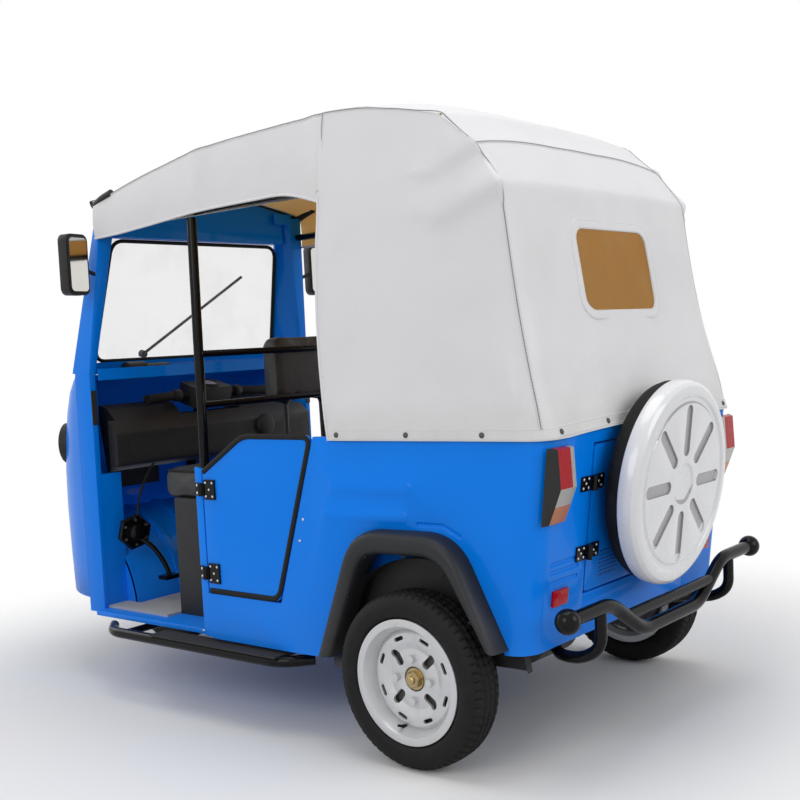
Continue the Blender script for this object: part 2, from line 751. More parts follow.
def strip(u, v):
    top = at_shoulder(split * u)
    z = 1562 + 36 * spline([(o, 0, 0) for o in OPENING], u)[0]
    low = Vector((top.x, ROOF_HALF + 8 + 10 * u, z))
    p = low.lerp(top, v)
    return Vector((p.x, p.y + 24 * v * (1 - v), p.z))


def rear(w, v):
    p = at_corner(v)
    back = (rear_hem_x(w) - rear_hem_x(1)) * (1 - v)
    return Vector((p.x + back, p.y * w, p.z + CROWN[-1] * (1 - abs(w) ** 3.4) * v ** 2))


def roof(u, w):
    p = at_shoulder(u)
    return Vector((p.x, p.y * w, p.z + crown_at(u) * (1 - abs(w) ** (2 + 1.4 * u ** 4))))


def patch(make, us, vs):
    pts = [make(u, v) for u in us for v in vs]
    return [mm(*p) for p in pts], grid_faces(len(us), len(vs))


def shares(n, start=0.0):
    """Evenly spaced shares from start to 1."""
    return [start + (1 - start) * i / n for i in range(n + 1)]


def at_edges(n):
    """Shares across, from 1 to -1, closer together at the corners."""
    return [sin(pi / 2 * (1 - 2 * i / n)) for i in range(n + 1)]


roof_us = [split * s for s in shares(STRIP_N)] + [split + (1 - split) * s for s in shares(QUARTER_N)[1:]]
across = at_edges(ACROSS_N)
sides = join(patch(strip, shares(STRIP_N), shares(10)), patch(quarter, shares(QUARTER_N), shares(ROWS_N)))
verts, faces = join(on_both(sides), patch(roof, roof_us, across), patch(rear, across, shares(ROWS_N)))
print("patches:", len(verts), "points")

# %% [markdown]
# ## Cloth over bows
# Cloth bridges from bow to bow and sags a little between them. A gentle smoothing rounds the shoulders,
# and a small push along the normals adds the ridge over each bow, the sag, and slow waves along the hem.
# Stays under each quarter lift the cloth too, with folds hanging from them.

# %% Cloth over bows
BOWS = (1398, 860, 328, -100)
STAYS = [((-290, 1533), (-105, 1468), 18.0), ((-212, 1648), (-70, 1588), 12.0)]
KNUCKLES = [(-42, 1512, 7.0), (-100, 1462, 7.0), (-66, 1585, 5.0)]


def stay_push(x, z):
    """Cloth lifted by the stays under the quarter: steep below a stay, gentle above it."""
    push = 0.0
    for (xa, za), (xb, zb), out in STAYS:
        dx, dz = xb - xa, zb - za
        t = ramp((x - xa) * dx + (z - za) * dz, 0, dx ** 2 + dz ** 2)
        off = z - (za + dz * t)
        away = hypot(x - (xa + dx * t), off)
        push = max(push, out * (1 - 0.45 * t) * exp(-(away / (62 if off > 0 else 26)) ** 2))
    return push + sum(out * exp(-((x - a) ** 2 + (z - b) ** 2) / 12 ** 2) for a, b, out in KNUCKLES)


mesh = new_mesh("canvas_top", verts, faces)
bm = bmesh.new()
bm.from_mesh(mesh)
bmesh.ops.remove_doubles(bm, verts=bm.verts, dist=4e-4)
bmesh.ops.recalc_face_normals(bm, faces=bm.faces)
inner = [v for v in bm.verts if not v.is_boundary]
for _ in range(3):
    bmesh.ops.smooth_vert(bm, verts=inner, factor=0.5, use_axis_x=True, use_axis_y=True, use_axis_z=True)
bm.normal_update()
moves = {}
for v in bm.verts:
    x, y, z = (v.co.x - AXLE_X) * 1000, abs(v.co.y) * 1000, v.co.z * 1000
    top = ramp(z, 1560, 1680)
    ridge = max(exp(-((x - b) / 46) ** 2) for b in BOWS) * 5 * top
    sag = -5 * top * sin(pi * ramp(x, 1330, -100) * 2.65) ** 2 * (1 - (y / 520) ** 2)
    slow = noise.noise(Vector((x / 210, y / 210 + 7, z / 260))) * 7
    fine = noise.noise(Vector((x / 70, y / 70 + 3, z / 150))) * 2.6
    cloth = 0.25 + 0.75 * ramp(z, 1640, 1480) * ramp(z, HEM_Z, HEM_Z + 90)
    hem = max(0, 1 - (z - HEM_Z) / 120) * sin((x + y) / 38) * 1.6 if z < HEM_Z + 120 else 0
    on_side = ramp(abs(v.normal.y), 0.35, 0.65)
    drape = sin(x / 13 + noise.noise(Vector((x / 90, z / 200, 1))) * 2.5) * 4.0 * on_side
    drape *= ramp(z, 1250, 950) * ramp(x, 120, -40) * ramp(z, HEM_Z + 4, HEM_Z + 64)
    ridge += stay_push(x, z) * on_side + drape
    waves = 0 if z < HEM_Z + 4 else (slow + fine) * cloth
    moves[v] = v.normal * ((ridge + sag + waves + hem) / 1000)
for v, move in moves.items():
    v.co += move
for v in bm.verts:
    if v.is_boundary and v.co.z < 0.9 and v.co.x < AXLE_X - 0.3:
        v.co.z += 0.014 * (1 - min(1, abs(v.co.y) / 0.45) ** 2)
bm.to_mesh(mesh)
bm.free()
top_obj = show("canvas_top", mesh)
whole_tree = BVHTree.FromObject(top_obj, bpy.context.evaluated_depsgraph_get())
print("cloth shaped over", len(BOWS), "bows and", len(STAYS), "stays a side")

# %% [markdown]
# ## Rear window and lining
# The shaped cloth gets its thickness inwards, with the tan lining on the inner side. The rear window is
# then cut out of it as a rounded rectangle.

# %% Rear window and lining
WINDOW_Z, WINDOW_W, WINDOW_H, WINDOW_R = 1318.0, 400.0, 232.0, 40.0


def window_ring(grow):
    """Points round the rear window's edge, in Y and Z millimetres."""
    ring = rounded(WINDOW_W / 2 - WINDOW_R, WINDOW_H / 2 - WINDOW_R, WINDOW_R + grow, 10)
    return [(y, WINDOW_Z + z) for y, z in ring]


def settle(obj, modifiers):
    """Runs modifiers once and keeps the resulting mesh."""
    for kind, values in modifiers:
        m = obj.modifiers.new(kind.lower(), kind)
        for key, value in values.items():
            setattr(m, key, value)
    made = bpy.data.meshes.new_from_object(obj.evaluated_get(bpy.context.evaluated_depsgraph_get()))
    obj.modifiers.clear()
    obj.data = made
    return obj


cut_v, cut_f = slab(*([mm(x, y, z) for y, z in window_ring(0)] for x in (-460, -200)))
cutter = show("window_cutter", new_mesh("window_cutter", cut_v, [f[::-1] for f in cut_f]))
top_obj.data.materials.append(canvas)
top_obj.data.materials.append(lining)
inwards = {"thickness": 0.0022, "offset": -1, "material_offset": 1, "material_offset_rim": 0}
settle(top_obj, [("SOLIDIFY", inwards),
                 ("BOOLEAN", {"object": cutter, "operation": "DIFFERENCE", "solver": "EXACT"})])
bpy.data.objects.remove(cutter)
CANOPY_NODES = ("canopy_roof", "canopy_left", "canopy_right", "canopy_strip_left", "canopy_strip_right",
                "canopy_rear")
finish_piece(top_obj, canvas, "body", CANOPY_NODES, angle=60)

# %% [markdown]
# ## Growing pieces by Geometry Nodes
# Screws, snaps and stitches are the same small shape many times, which is what instancing is for. One
# tree puts a rounded head on each point of a mesh, turned to the direction stored with the point; a head
# with six sides becomes a nut. The other walks along a path and lays a stitch every few millimetres.

# %% Growing pieces by Geometry Nodes
def tree_of(name, numbers):
    """An empty node tree with named number inputs; gives the tree, its ends and the inputs' identifiers."""
    tree = bpy.data.node_groups.new(name, "GeometryNodeTree")
    tree.interface.new_socket("Geometry", in_out="INPUT", socket_type="NodeSocketGeometry")
    ids = {n: tree.interface.new_socket(n, in_out="INPUT", socket_type="NodeSocketFloat").identifier
           for n in numbers}
    tree.interface.new_socket("Geometry", in_out="OUTPUT", socket_type="NodeSocketGeometry")
    return tree, tree.nodes.new("NodeGroupInput"), tree.nodes.new("NodeGroupOutput"), ids


def put(tree, kind, settings=(), **links):
    """One geometry node, with its sockets linked or set by name."""
    made = tree.nodes.new(kind)
    for key, value in dict(settings).items():
        setattr(made, key, value)
    for key, value in links.items():
        socket = made.inputs[key.replace("_", " ")]
        if isinstance(value, bpy.types.NodeSocket):
            tree.links.new(value, socket)
        else:
            socket.default_value = value
    return made


def planted(mesh, tree, end, points, shape, size, turn, values, material, body):
    """The shape on every point, sized and turned; the tree's result becomes a plain piece."""
    sized = put(tree, "GeometryNodeTransform", Geometry=shape.outputs[0], Scale=size.outputs[0])
    many = put(tree, "GeometryNodeInstanceOnPoints", Points=points, Instance=sized.outputs[0],
               Rotation=turn.outputs[0])
    real = put(tree, "GeometryNodeRealizeInstances", Geometry=many.outputs[0])
    painted = put(tree, "GeometryNodeSetMaterial", Geometry=real.outputs[0], Material=material)
    tree.links.new(painted.outputs[0], end.inputs[0])
    name = mesh.name
    obj = show(name, mesh)
    grow = obj.modifiers.new("grow", "NODES")
    grow.node_group = tree
    for key, value in values.items():
        grow[key] = value
    settle(obj, [])
    obj.data.name = name
    print(name, len(obj.data.polygons), "faces")
    return finish_piece(obj, material, body)


print("tree helpers ready")

# %% [markdown]
# ## Heads and stitches
# A head is a flattened ball, or a short prism if it has few sides. Its tree reads the facing direction from
# each point. A stitch is a small long ball that lies along its path.

# %% Heads and stitches
def heads(name, spots, material, radius, height, sides=12, body="body"):
    """A head on each spot, a place and the way it faces; radius and height in millimetres."""
    mesh = new_mesh(name, [p for p, n in spots])
    facing = mesh.attributes.new("facing", "FLOAT_VECTOR", "POINT")
    for k, (p, n) in enumerate(spots):
        facing.data[k].vector = n
    tree, start, end, ids = tree_of(name, ("Radius", "Height"))
    wide, tall = start.outputs["Radius"], start.outputs["Height"]
    size = put(tree, "ShaderNodeCombineXYZ", X=wide, Y=wide, Z=tall)
    if sides > 8:
        shape = put(tree, "GeometryNodeMeshUVSphere", Segments=sides, Rings=8, Radius=1.0)
    else:
        shape = put(tree, "GeometryNodeMeshCylinder", Vertices=sides, Radius=1.0, Depth=2.0)
    named = put(tree, "GeometryNodeInputNamedAttribute", {"data_type": "FLOAT_VECTOR"}, Name="facing")
    turn = put(tree, "FunctionNodeAlignRotationToVector", {"axis": "Z"}, Vector=named.outputs[0])
    values = {ids["Radius"]: radius / 1000, ids["Height"]: height / 1000}
    return planted(mesh, tree, end, start.outputs[0], shape, size, turn, values, material, body)


def stitches(name, paths, material, length, pitch):
    """Stitches along several paths; length and pitch in millimetres."""
    verts, edges = [], []
    for path in paths:
        edges += [(len(verts) + i, len(verts) + i + 1) for i in range(len(path) - 1)]
        verts += path
    mesh = new_mesh(name, verts, edges=edges)
    tree, start, end, ids = tree_of(name, ("Length", "Pitch"))
    curve = put(tree, "GeometryNodeMeshToCurve", Mesh=start.outputs[0])
    points = put(tree, "GeometryNodeCurveToPoints", {"mode": "LENGTH"}, Curve=curve.outputs[0],
                 Length=start.outputs["Pitch"])
    turn = put(tree, "FunctionNodeAlignRotationToVector", {"axis": "X"}, Vector=points.outputs["Tangent"])
    size = put(tree, "ShaderNodeCombineXYZ", X=start.outputs["Length"], Y=0.0009, Z=0.0008)
    shape = put(tree, "GeometryNodeMeshUVSphere", Segments=6, Rings=4, Radius=1.0)
    values = {ids["Length"]: length / 2000, ids["Pitch"]: pitch / 1000}
    return planted(mesh, tree, end, points.outputs[0], shape, size, turn, values, material, "body")


print("trees ready")

# %% [markdown]
# ## Seams, hem and window border
# Canvas panels overlap at a seam and are sewn twice, so a seam shows as a narrow raised band between two
# rows of stitches, with a thin grey welt along its middle. Each band follows the cloth by looking up the
# nearest place on it. The hem is a wider band, and the window has a border of its own.

# %% Seams, hem and window border
HUMP = ((-1, -0.4), (-0.96, 0.8), (-0.8, 1), (0, 1), (0.8, 1), (0.96, 0.8), (1, -0.4))
SEAM_W, SEAM_LIFT, WELT_R = 11, 1.3, 1.5


def cloth_at(p):
    place, normal, _, _ = whole_tree.find_nearest(p)
    return place, normal


def band(path, width, lift, looped=False):
    """A band of cloth along a path, with a raised middle; width and lift in millimetres."""
    n = len(path)
    rows, edges = [], ([], [])
    for i, p in enumerate(path):
        a, b = path[(i - 1) % n], path[(i + 1) % n]
        if not looped:
            a, b = path[max(i - 1, 0)], path[min(i + 1, n - 1)]
        place, normal = cloth_at(p)
        across = normal.cross((b - a).normalized()).normalized() * (width / 2000)
        for share, up in HUMP:
            q, m = cloth_at(place + across * share)
            rows.append(q + m * (lift * up / 1000))
            if abs(share) == 0.8:
                edges[share > 0].append(q + m * ((lift + 0.2) / 1000))
    return (rows, grid_faces(n, len(HUMP), looped, False)), edges


def flip(path):
    return [Vector((p.x, -p.y, p.z)) for p in path]


shoulder_path = [mm(*at_shoulder(u)) for u in shares(120)]
corner_path = [mm(*at_corner(v)) for v in shares(60, 0.03)]
rear_path = [mm(*roof(1, w)) for w in at_edges(70)[1:-1]]
drop_path = [mm(*strip(1, v)) for v in shares(20, 0.06)]
cross_path = [mm(*roof(split, w)) for w in at_edges(70)[1:-1]]
seam_parts, welts, sewn = [], [], []
for path in (shoulder_path, flip(shoulder_path), corner_path, flip(corner_path), rear_path, drop_path,
             flip(drop_path), cross_path):
    part, rows = band(path, SEAM_W, SEAM_LIFT)
    seam_parts.append(part)
    sewn += rows
    welts.append(sweep([place + normal * 0.0014 for place, normal in map(cloth_at, path)], disc(WELT_R, 6)))
welt = piece("seam_welts", *join(*welts), thread, slot="canvas", angle=60)
seams = piece("canvas_seams", *join(*seam_parts), canvas, slot="canvas", closed=False, angle=60)
hem_rear = [mm(rear_hem_x(w), corner_hem[1] * w, HEM_Z + 16 + 14 * (1 - w * w)) for w in at_edges(80)]
hem_left = [mm(p.x, p.y, HEM_Z + 16) for p in (quarter_hem(u) for u in shares(80, 0.01))]
hem_path = hem_left + hem_rear[1:-1] + flip(hem_left)[::-1]
hem_part, hem_rows = band(hem_path, 30, 1.2)
ring_path = [mm(-330, y, z) for y, z in window_ring(15)]
ring_part, ring_rows = band(ring_path, 28, 2.4, looped=True)
hem = piece("canvas_hem", *join(hem_part, ring_part), canvas, slot="canvas", closed=False, angle=60)
edge_path = [mm(*strip(u, 0)) for u in shares(90)] + [mm(*front_edge(v)) for v in shares(60)][::-1][14:]
edge_path = [cloth_at(p)[0] for p in edge_path]
edge = piece("opening_binding", *on_both(sweep(edge_path, disc(4.2, 10))), canvas, slot="canvas")
front_path = [cloth_at(mm(*roof(0, w)))[0] for w in at_edges(60)]
binding = piece("front_binding", *sweep(front_path, disc(5, 10)), canvas, slot="canvas")
sewing = stitches("canvas_stitches", sewn + list(hem_rows) + [r + r[:1] for r in ring_rows], tape, 5.0, 8.5)
print("seams", len(seam_parts), "window ring", len(ring_path))

# %% [markdown]
# ## Press studs and the flat sheet
# Press studs hold the hem to the tub, about every quarter of a metre.

# %% Press studs and the flat sheet
STUD_GAP = 0.235
studs = []
run = 0.242  # longer than the gap, so the first stud sits at the hem's front end
for a, b in zip(hem_path, hem_path[1:]):
    run += (b - a).length
    if run > STUD_GAP:
        place, normal = cloth_at(b)
        studs.append((place + normal * 0.0016, normal))
        run = 0.0
stud_piece = heads("hem_studs", studs, cast, 8.0, 4.2, 16)


def run_of(points):
    """Length in metres of a line of millimetre places."""
    return sum((b - a).length for a, b in zip(points, points[1:])) / 1000


steps = shares(60)
lengthwise = run_of([roof(u, 0) for u in steps]) + run_of([rear(0, 1 - v) for v in steps])
crosswise = run_of([roof(split, 2 * w - 1) for w in steps]) + 2 * run_of([quarter(0, v) for v in steps])
print("studs", len(studs))

# %% [markdown]
# ## Tyres and discs
# The tyre's section is turned about the axle. The tread is cut by lowering the surface where a groove
# runs: three straight grooves round the tyre, and slanted cuts across the ribs and shoulders. The steel
# disc has four slots, which are cut by four bars.

# %% Tyres and discs
TYRE_R, RIM_R, TYRE_W = 240.0, 170.0, 118.0
TREAD_PITCH, TREAD_DEEP = 64, 6.0
LUG_R, HUB_R, SLOT_AT, SLOT_R = 57, 0.0335, 75, 11.5


def middle(node):
    lo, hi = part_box(node)
    return (lo + hi) / 2


def tyre_section():
    """Half width and radius from the inner bead over the tread to the outer bead, closely spaced."""
    w = TYRE_W / 2
    side = [(w - 14, RIM_R + 1), (w - 4, RIM_R + 9), (w - 1, RIM_R + 20), (w, RIM_R + 34),
            (w - 2, TYRE_R - 25), (w - 8, TYRE_R - 11), (w - 17, TYRE_R - 4.5), (w - 30, TYRE_R - 1.5),
            (0, TYRE_R)]
    half = [spline([(a, b, 0) for a, b in side], u) for u in shares(34)]
    return [(-p[0], p[1]) for p in half] + [(p[0], p[1]) for p in half[-2::-1]]


def cut(y, angle):
    """Depth of the tread at a place across the tyre and round it, from 0 to 1."""
    straight = max(exp(-((abs(y) - g) / 3.0) ** 4) for g in (0.5, 22.0))
    phase = (angle / (2 * pi) * TREAD_PITCH + y * 0.012 * (1 if y > 0 else -1)) % 1
    slant = 1.0 if phase < 0.2 and (27 < abs(y) < 56 or 5 < abs(y) < 15) else 0.0
    return max(straight, slant * 0.8)


def tyre(node, body):
    c = middle(node)
    section = tyre_section()
    turn = TREAD_PITCH * 5
    pts = []
    for a in around(turn):
        for y, r in section:
            tread = ramp(r, TYRE_R - 16, TYRE_R - 10)
            rib = 0.8 * exp(-((r - 203) / 1.2) ** 2) + 0.8 * exp(-((r - 188) / 1.2) ** 2)
            deep = r - TREAD_DEEP * cut(y, a) * tread
            y_out = y + copysign(rib, y) if abs(y) > 40 else y
            pts.append(c + Vector((deep * cos(a), y_out, deep * sin(a))) / 1000)
    faces = grid_faces(turn, len(section), True, False)
    return piece(node + "_dressed", pts, faces, rubber, body, "tyre", [node], angle=50, closed=False)


def disc_slots(c):
    """Four long slots between the nuts, as bars through the wheel's disc."""
    bars = []
    for k in range(4):
        a = radians(45 + 90 * k)
        along, across = Vector((cos(a), 0, sin(a))), Vector((-sin(a), 0, cos(a)))
        ring = []
        for t in (2 * pi * (i + 0.5) / 24 for i in range(24)):
            far = SLOT_AT + copysign(13, cos(t)) + SLOT_R * cos(t)
            ring.append(c + (along * far + across * SLOT_R * sin(t)) / 1000)
        bars.append(slab(*([p + Vector((0, y, 0)) for p in ring] for y in (-0.06, 0.06))))
    return join(*bars)


def take_out(obj, part):
    """Takes a closed part out of a piece."""
    mesh = new_mesh("cutter", *part)
    with edited(mesh) as bm:
        bmesh.ops.recalc_face_normals(bm, faces=bm.faces)
    tool = show("cutter", mesh)
    settle(obj, [("BOOLEAN", {"object": tool, "operation": "DIFFERENCE", "solver": "EXACT"})])
    bpy.data.objects.remove(tool)


print("tread of", TREAD_PITCH, "blocks round the tyre")

# %% [markdown]
# ## Three wheels
# The three wheels are alike. Four nuts on a lug circle, a brass axle nut, a brake drum behind the disc and a
# valve finish each of them, and all of it turns with the wheel.

# %% Three wheels
for name, out in (("rear_left", 1), ("rear_right", -1), ("front", 1)):
    body = name + "_wheel"
    made = tyre(name + "_tyre", body)
    c = middle(name + "_tyre")
    axis = Vector((0, out, 0))

    def hub_or_disc(p, c=c):
        return 1 if hypot(p.x - c.x, p.z - c.z) < HUB_R else 0

    rim = soft_copy(name + "_rim", [silver, black_paint], body, bevel=1.2, angle=28,
                    pick=hub_or_disc)
    take_out(rim, disc_slots(c))
    lugs = [(c + Vector((LUG_R * cos(a), 20 * out, LUG_R * sin(a))) / 1000, axis)
            for a in around(4)]
    heads(name + "_wheel_nuts", lugs, silver, 11, 9, 6, body)
    nut = join(turned([(0, 8), (30, 8), (30, 12), (0, 12)], c, axis),
               turned([(0, 12), (24, 12), (24, 24), (21, 28), (0, 28)], c, axis, 6),
               turned([(0, 27), (11, 27), (11, 33), (8, 35), (0, 35)], c, axis, 20))
    piece(name + "_axle_nut", *nut, brass, body, "cast_metal", angle=25)
    drum = turned([(0, -40), (122, -40), (126, -34), (126, -6), (122, -1), (40, 0), (0, 0)], c, axis, 64)
    piece(name + "_brake_drum", *drum, cast, body, "cast_metal")
    foot = c + Vector((36, 18 * out, -134)) / 1000
    stem = [(0, 0), (6, 0), (5, 12), (3.5, 14), (3.5, 30), (0, 31)]
    valve = turned(stem, foot, (0.1, out, 0.35), 14)
    piece(name + "_valve", *valve, rubber, body, "tyre")
print("tyres", len(made.data.polygons), "faces each")

# %% [markdown]
# ## Arch flares
# Each flare is a soft plastic moulding with a bull-nosed edge. Its section rises off the steel in a
# quarter round, runs flat across the band and rolls in under the arch. The section is carried along the
# arch between an outer and an inner line.

# %% Arch flares
FLARE = [(-275, 340, -238, 352), (-140, 637, -100, 571), (195, 637, 163, 571), (345, 262, 297, 262)]
FLARE_OUT, FLARE_N = 629.0, 90


def side_y(x, z):
    """Outside of the tapered steel side, in millimetres."""
    p = (x - rear_x(z)) * cos(LEAN) - REAR_BACK
    return BODY_HALF - (BODY_HALF - REAR_HALF) * max(0, TAPER_X - p) / (TAPER_X + REAR_BACK)


def resampled(path, count):
    """Points at even distances along a path."""
    ends = [0.0]
    for a, b in zip(path, path[1:]):
        ends.append(ends[-1] + (b - a).length)
    out, k = [], 0
    for i in range(count):
        d = ends[-1] * i / (count - 1)
        while k < len(path) - 2 and ends[k + 1] < d:
            k += 1
        out.append(path[k].lerp(path[k + 1], (d - ends[k]) / max(ends[k + 1] - ends[k], 1e-9)))
    return out


outer = fillet([Vector((f[0], 0, f[1])) for f in FLARE], 96, 14)
inside = fillet([Vector((f[2], 0, f[3])) for f in FLARE], 62, 14)
BAND = [(0.0, -0.25), (0.0, 0.0), (0.015, 0.35), (0.06, 0.68), (0.14, 0.9), (0.26, 0.99), (0.45, 1.0),
        (0.68, 0.97), (0.85, 0.86), (0.95, 0.66), (1.0, 0.4), (1.01, 0.0), (1.01, -1.1)]
lines = list(zip(resampled(outer, FLARE_N), resampled(inside, FLARE_N)))
rows = []
for o, n in lines:
    for share, up in BAND:
        p = o.lerp(n, share)
        skin = side_y(p.x, p.z)
        rows.append(mm(p.x, skin + (FLARE_OUT - skin) * up, p.z))
ends = [tuple(range(len(BAND))), tuple(range(len(rows) - len(BAND), len(rows)))[::-1]]
flare_part = (rows, grid_faces(FLARE_N, len(BAND)) + ends)
piece("arch_flares_dressed", *on_both(flare_part), flare_plastic, slot="flare_plastic",
      replaced=["arch_flares"], angle=50)
screw_spots = []
for o, n in lines[8:84:15]:
    p = o.lerp(n, 0.98)
    for s in (1, -1):
        screw_spots.append((mm(p.x, s * (FLARE_OUT - 11), p.z), Vector((0, s, 0))))
heads("flare_screws", screw_spots, black_paint, 6, 3, 12)
print("flares and", len(screw_spots), "screws")

# %% [markdown]
# ## Arch liners
# Behind each rear wheel a black plastic liner keeps mud off the steel. It is an arch that follows the
# inside of the side panel, closed by a flat wall towards the engine.

# %% Arch liners
LINER_R, LINER_WALL, LINER_GAP = 318.0, 512.0, 17
arch = [radians(7 + 166 * k / 48) for k in range(49)]
rim_line = [(LINER_R * cos(a), TYRE_R + LINER_R * sin(a)) for a in arch]
hood = []
for x, z in rim_line:
    skin = side_y(x, z) - LINER_GAP
    hood += [mm(x, y, z) for y in (LINER_WALL, (LINER_WALL + skin) / 2, skin)]
wall_line = rim_line + [(-200, 278), (200, 278)]
wall = ([mm(x, LINER_WALL, z) for x, z in wall_line], [tuple(range(len(wall_line)))])
hood_part = (hood, grid_faces(len(rim_line), 3))
piece("arch_liners", *on_both(join(hood_part, wall)), black_plastic, closed=False, angle=50)
print("liners of radius", LINER_R)

# %% [markdown]
# ## Bumper and steps
# Steel tube is bent on a former, so its corners are arcs. The tubes are swept along filleted paths; the
# bumper ends in round rubber balls, and the steps carry a gritty tread plate.

# %% Bumper and steps
X_BUMPER = rear_x(325) - 122
half_bar = [(552, 434), (342, 434), (172, 330)]
main_bar = [(X_BUMPER, y, z) for y, z in half_bar + [(-y, z) for y, z in half_bar[::-1]]]
arm = [(X_BUMPER, 395, 434), (X_BUMPER + 2, 395, 330), (X_BUMPER + 60, 395, 295), (-330, 395, 295),
       (-270, 330, 295), (-270, 330, 335)]
tubes = [tube(main_bar, 19, 28, 0.045, 10), tube([(X_BUMPER, y, 384) for y in (260, -260)], 16, 24),
         on_both(tube(arm, 16, 24, 0.05, 10))]
ball = [(33 * sin(a), 33 * cos(a)) for a in (pi * k / 16 for k in range(17))]
tubes.append(on_both(turned(ball, mm(X_BUMPER, 556, 434), (0, 1, 0), 32)))
piece("bumper_dressed", *join(*tubes), black_paint, slot="black_paint", replaced=["bumper"], angle=60)
rail = [(430, 547, 222), (500, 627, 222), (1300, 627, 222), (1372, 567, 222)]
step_tubes = [tube(rail, 17, 24, 0.06, 10)]
step_tubes += [tube([(x, 360, 222), (x, 627, 222)], 12, 20) for x in (560, 1240)]
piece("step_bars_dressed", *on_both(join(*step_tubes)), black_paint, slot="black_paint",
      replaced=["step_bars"], angle=60)


def grit_look(w, p):
    grains = w.node("TexVoronoi", {"feature": "F1"}, {"Vector": p, "Scale": 420.0}, "Distance")
    return {"Base Color": cloud(w, p, 60.0, 4.0).blend((0.006, 0.006, 0.006), (0.024, 0.024, 0.024)),
            "Roughness": 0.7 + grains * 0.2, "Normal": relief(w, grains, 0.0025, 0.9)}


grit = surface("gritty_tread", grit_look)
piece("step_treads", *on_both(brick(500, 1080, 575, 646, 236, 242)), grit, slot="black_plastic")
print("bumper and steps swept")

# %% [markdown]
# ## Tail lamps
# A tail lamp is one faceted lens on a black base, with amber, clear and red fields, so each face takes
# its colour from where it sits on the lamp.

# %% Tail lamps
def on_rear(y, z, out):
    """A place on the leaning rear face, a little way out of it."""
    return mm(rear_x(z) - out / cos(LEAN), y, z)


LAMP_LOW, LAMP_IN, LAMP_OUT = 662.0, 438.0, 538.0
LAMP_ROWS = [(0, 6), (2, 14), (44, 27), (48, 28), (94, 41), (100, 40), (194, 24), (198, 6)]


def tail_lamp():
    """The left lamp: rows of a lens that stands out most at half height."""
    rows = []
    for h, out in LAMP_ROWS:
        low = min(out, 9)
        section = ((LAMP_OUT, -1), (LAMP_OUT, low), (LAMP_OUT - 13, out), ((LAMP_OUT + LAMP_IN) / 2, out),
                   (LAMP_IN + 27, out - 1), (LAMP_IN + 5, max(low, out - 4)), (LAMP_IN, low), (LAMP_IN, -1))
        rows += [on_rear(y, LAMP_LOW + h, o) for y, o in section]
    return rows, grid_faces(len(LAMP_ROWS), len(section))


def lens_field(c):
    """The number of a lamp face's finish: base, amber, clear or red."""
    up, far = c.z * 1000 - LAMP_LOW, abs(c.y) * 1000
    if far > LAMP_OUT - 10 or far < LAMP_IN + 2:
        return 0
    if up < 46:
        return 1
    return 2 if up < 97 or far < LAMP_IN + 26 else 3


lamps = piece("tail_lamp_lenses", *on_both(tail_lamp()), [black_plastic, lens_amber, lens_white, lens_red],
              slot="lamp_lens", replaced=["tail_lamps"], closed=False, angle=16)
for f in lamps.data.polygons:
    f.material_index = lens_field(f.center)
soft_copy("reflectors", [lens_red])
print("tail lamps with", len(lamps.data.polygons), "faces")

# %% [markdown]
# ## Spare wheel, mirrors and headlamps
# The spare wheel's cover has shallow pockets in grey. The mirror glass is a thin plate on the housing, and
# each headlamp has a ribbed glass in a black ring.

# %% Spare wheel, mirrors and headlamps
spare_y, spare_z = middle("spare_cover").y, 0.724


def cover_field(c):
    away = hypot(c.y - spare_y, (c.z - spare_z) / cos(LEAN))
    return 1 if 0.062 < away < 0.219 and out_of_rear(c) < 121.2 else 0


soft_copy("spare_cover", [gloss_white, accent], "rear_gate", bevel=1.4, angle=24,
          pick=cover_field)
soft_copy("spare_tyre", [rubber], "rear_gate", bevel=1.5, angle=24)
soft_copy("mirrors", [black_plastic], bevel=5, angle=40)


def mirror_plate():
    """The glass of the left mirror, seen from the cabin."""
    turn = Matrix.Rotation(radians(12), 3, "Z")
    ring = rounded(26, 76, 15, 6)
    sides = ([turn @ Vector((x, y, z)) for y, z in ring] for x in (-23.2, -21.5))
    return slab(*([mm(1416 + p.x, 601.2 + p.y, 1470 + p.z) for p in side] for side in sides))


def mirror_look(w, p):
    haze = cloud(w, p, 9.0, 3.0)
    return {"Base Color": haze.blend((0.62, 0.60, 0.56), (0.70, 0.69, 0.66)), "Roughness": 0.02 + haze * 0.05}


mirror_glass = surface("mirror_glass", mirror_look, Metallic=1.0)
piece("mirror_glasses", *on_both(mirror_plate()), mirror_glass, slot="glass")


def headlamp_field(c):
    place = mm(1748, 418 if c.y > 0 else -418, 838)
    face = Vector((cos(radians(32)), copysign(sin(radians(32)), c.y), 0))
    away = (c - place) - face * (c - place).dot(face)
    return 1 if away.length < 0.064 and (c - place).dot(face) > 0.02 else 0


soft_copy("headlamps", [black_plastic, lens_white], bevel=1.2, angle=24,
          pick=headlamp_field)
print("spare wheel, mirrors and headlamps dressed")

# %% [markdown]
# ## Rubber trims, bolts and small plates
# The doors carry a black rubber edging along all but their hinge edge. Hinges are held by bright screws,
# one at each corner and one in the middle. A patch of small holes in the tailgate is a pattern of dark
# discs. Small plates close the corners of the roof, the cowl and the pillars.

# %% Rubber trims, bolts and small plates
door_line = [(812, 776), (626, 889), (343, 889), (508, 404), (808, 404)]
trim_section = [(0.0042 * cos(a), 0.0085 * sin(a)) for a in around(12)]
trim = sweep(fillet([mm(x, BODY_HALF + 0.6, z) for x, z in door_line], 0.034, 8), trim_section)
piece("door_trim_left", *trim, rubber, "left_door", "tyre", angle=60)
piece("door_trim_right", *mirrored(trim), rubber, "right_door", "tyre", angle=60)


def five(x, z, w, h):
    """Four corners and the middle."""
    return [(x + a * w, z + b * h) for a, b in ((-1, -1), (1, -1), (-1, 1), (1, 1), (0, 0))]


